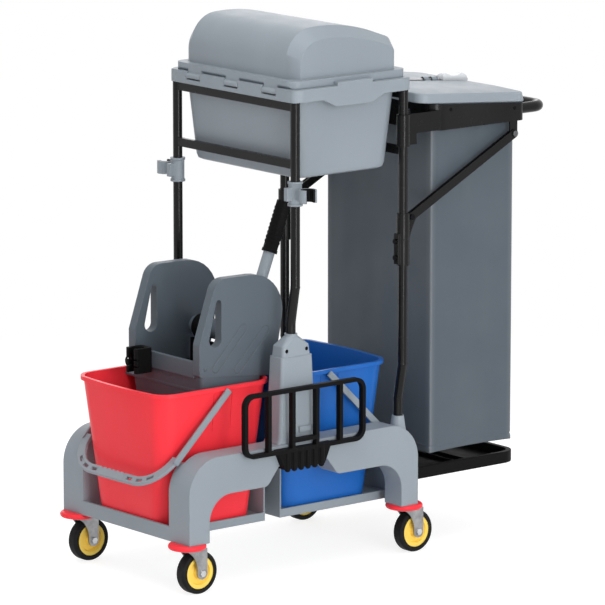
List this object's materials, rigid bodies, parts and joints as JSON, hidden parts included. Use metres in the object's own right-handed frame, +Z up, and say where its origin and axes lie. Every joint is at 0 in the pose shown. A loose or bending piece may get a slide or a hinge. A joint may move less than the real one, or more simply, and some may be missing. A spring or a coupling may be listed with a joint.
{
  "type": "janitor cart",
  "caption": "Wheeled janitor cart with red and blue mop buckets, a lever wringer, a lidded supply tub on a tube frame and a lidded waste bag behind it.",
  "frame": {"origin": "on the floor under the middle of the cart's bounding box", "axes": "+X from the red bucket at the front to the push handle at the rear, +Z up, +Y to the right of a person who pushes the cart towards -X"},
  "size_m": [1.1736, 0.5544, 1.2633],
  "materials": {
    "grey_plastic": "moulded, fine texture, light grey",
    "slate_plastic": "moulded, fine texture, slate grey",
    "red_plastic": "moulded, satin red",
    "blue_plastic": "moulded, satin blue",
    "yellow_plastic": "moulded, yellow",
    "bright_steel": "zinc plated",
    "fork_steel": "zinc plated, pressed",
    "tyre": "solid black rubber",
    "black_steel": "black powder coat",
    "black_plastic": "moulded black",
    "black_rubber": "soft ribbed black rubber",
    "bag_fabric": "coated cloth, slate grey",
    "pale_plastic": "pale grey, glossy"
  },
  "bodies": {
    "cart": {"chassis": "grey_plastic", "bumper_rings": "red_plastic", "caster_stems": "bright_steel", "post_shroud_left": "grey_plastic", "post_shroud_right": "grey_plastic", "shroud_screws": "black_plastic", "front_left_post": "black_steel", "front_right_post": "black_steel", "rear_left_post": "black_steel", "rear_right_post": "black_steel", "front_cross_bars": "black_steel", "rear_cross_bars": "black_steel", "tool_clip_left": "grey_plastic", "tool_clip_right": "grey_plastic", "tool_clip_rubber_left": "black_rubber", "tool_clip_rubber_right": "black_rubber", "side_rack": "black_plastic", "supply_tub": "grey_plastic", "lid_hinge_pin": "bright_steel", "bag_hoop": "black_steel", "hoop_bracket_left": "black_steel", "hoop_bracket_right": "black_steel", "brace_left": "black_steel", "brace_right": "black_steel", "brace_clamp_left": "black_steel", "brace_clamp_right": "black_steel", "bag_holder_bolts": "bright_steel", "push_handle": "black_steel", "bag_platform": "black_plastic", "waste_bag": "bag_fabric", "bag_lid_rod": "bright_steel", "bag_lid_grip": "pale_plastic", "red_bucket": "red_plastic", "blue_bucket": "blue_plastic", "wringer_body": "slate_plastic", "mop_clip": "black_plastic"},
    "caster_front_left": {"caster_fork_front_left": "fork_steel", "caster_axle_front_left": "bright_steel"},
    "wheel_front_left": {"wheel_hub_front_left": "yellow_plastic", "wheel_tyre_front_left": "tyre"},
    "caster_front_right": {"caster_fork_front_right": "fork_steel", "caster_axle_front_right": "bright_steel"},
    "wheel_front_right": {"wheel_hub_front_right": "yellow_plastic", "wheel_tyre_front_right": "tyre"},
    "caster_rear_left": {"caster_fork_rear_left": "fork_steel", "caster_axle_rear_left": "bright_steel"},
    "wheel_rear_left": {"wheel_hub_rear_left": "yellow_plastic", "wheel_tyre_rear_left": "tyre"},
    "caster_rear_right": {"caster_fork_rear_right": "fork_steel", "caster_axle_rear_right": "bright_steel"},
    "wheel_rear_right": {"wheel_hub_rear_right": "yellow_plastic", "wheel_tyre_rear_right": "tyre"},
    "supply_lid": {"supply_lid": "grey_plastic"},
    "bag_lid_left": {"bag_lid_left": "grey_plastic"},
    "bag_lid_right": {"bag_lid_right": "grey_plastic"},
    "red_bail": {"red_bail": "grey_plastic"},
    "blue_bail": {"blue_bail": "grey_plastic"},
    "wringer_lever": {"wringer_lever": "grey_plastic", "lever_grip": "black_plastic", "press_plate": "black_plastic"}
  },
  "joints": [
    {"name": "swivel_front_left", "type": "hinge", "parent": "cart", "child": "caster_front_left", "pos_m": [-0.51923, -0.2055, 0.106], "axis": [0, 0, 1], "continuous": true},
    {"name": "roll_front_left", "type": "hinge", "parent": "caster_front_left", "child": "wheel_front_left", "pos_m": [-0.49223, -0.2055, 0.05], "axis": [0, 1, 0], "continuous": true},
    {"name": "swivel_front_right", "type": "hinge", "parent": "cart", "child": "caster_front_right", "pos_m": [-0.51923, 0.2055, 0.106], "axis": [0, 0, 1], "continuous": true},
    {"name": "roll_front_right", "type": "hinge", "parent": "caster_front_right", "child": "wheel_front_right", "pos_m": [-0.49223, 0.2055, 0.05], "axis": [0, 1, 0], "continuous": true},
    {"name": "swivel_rear_left", "type": "hinge", "parent": "cart", "child": "caster_rear_left", "pos_m": [0.12377, -0.2055, 0.106], "axis": [0, 0, 1], "continuous": true},
    {"name": "roll_rear_left", "type": "hinge", "parent": "caster_rear_left", "child": "wheel_rear_left", "pos_m": [0.15077, -0.2055, 0.05], "axis": [0, 1, 0], "continuous": true},
    {"name": "swivel_rear_right", "type": "hinge", "parent": "cart", "child": "caster_rear_right", "pos_m": [0.12377, 0.2055, 0.106], "axis": [0, 0, 1], "continuous": true},
    {"name": "roll_rear_right", "type": "hinge", "parent": "caster_rear_right", "child": "wheel_rear_right", "pos_m": [0.15077, 0.2055, 0.05], "axis": [0, 1, 0], "continuous": true},
    {"name": "supply_lid_hinge", "type": "hinge", "parent": "cart", "child": "supply_lid", "pos_m": [-0.22323, 0, 1.121], "axis": [0, -1, 0], "range_deg": [0, 95]},
    {"name": "bag_lid_right_hinge", "type": "hinge", "parent": "cart", "child": "bag_lid_right", "pos_m": [0.3442, 0, 1.0765], "axis": [0.9969, 0, -0.0785], "range_deg": [0, 88]},
    {"name": "bag_lid_left_hinge", "type": "hinge", "parent": "cart", "child": "bag_lid_left", "pos_m": [0.3442, 0, 1.0765], "axis": [-0.9969, 0, 0.0785], "range_deg": [0, 88]},
    {"name": "red_bail_swing", "type": "hinge", "parent": "cart", "child": "red_bail", "pos_m": [-0.37973, 0, 0.441], "axis": [0, 1, 0], "range_deg": [0, 125]},
    {"name": "blue_bail_swing", "type": "hinge", "parent": "cart", "child": "blue_bail", "pos_m": [-0.06673, 0, 0.441], "axis": [0, -1, 0], "range_deg": [0, 134]},
    {"name": "wringer_lever_pull", "type": "hinge", "parent": "cart", "child": "wringer_lever", "pos_m": [-0.26023, 0, 0.548], "axis": [0, 1, 0], "range_deg": [0, 60], "stiffness_Nm_per_rad": 1.5, "springref_deg": -34.38}
  ]
}
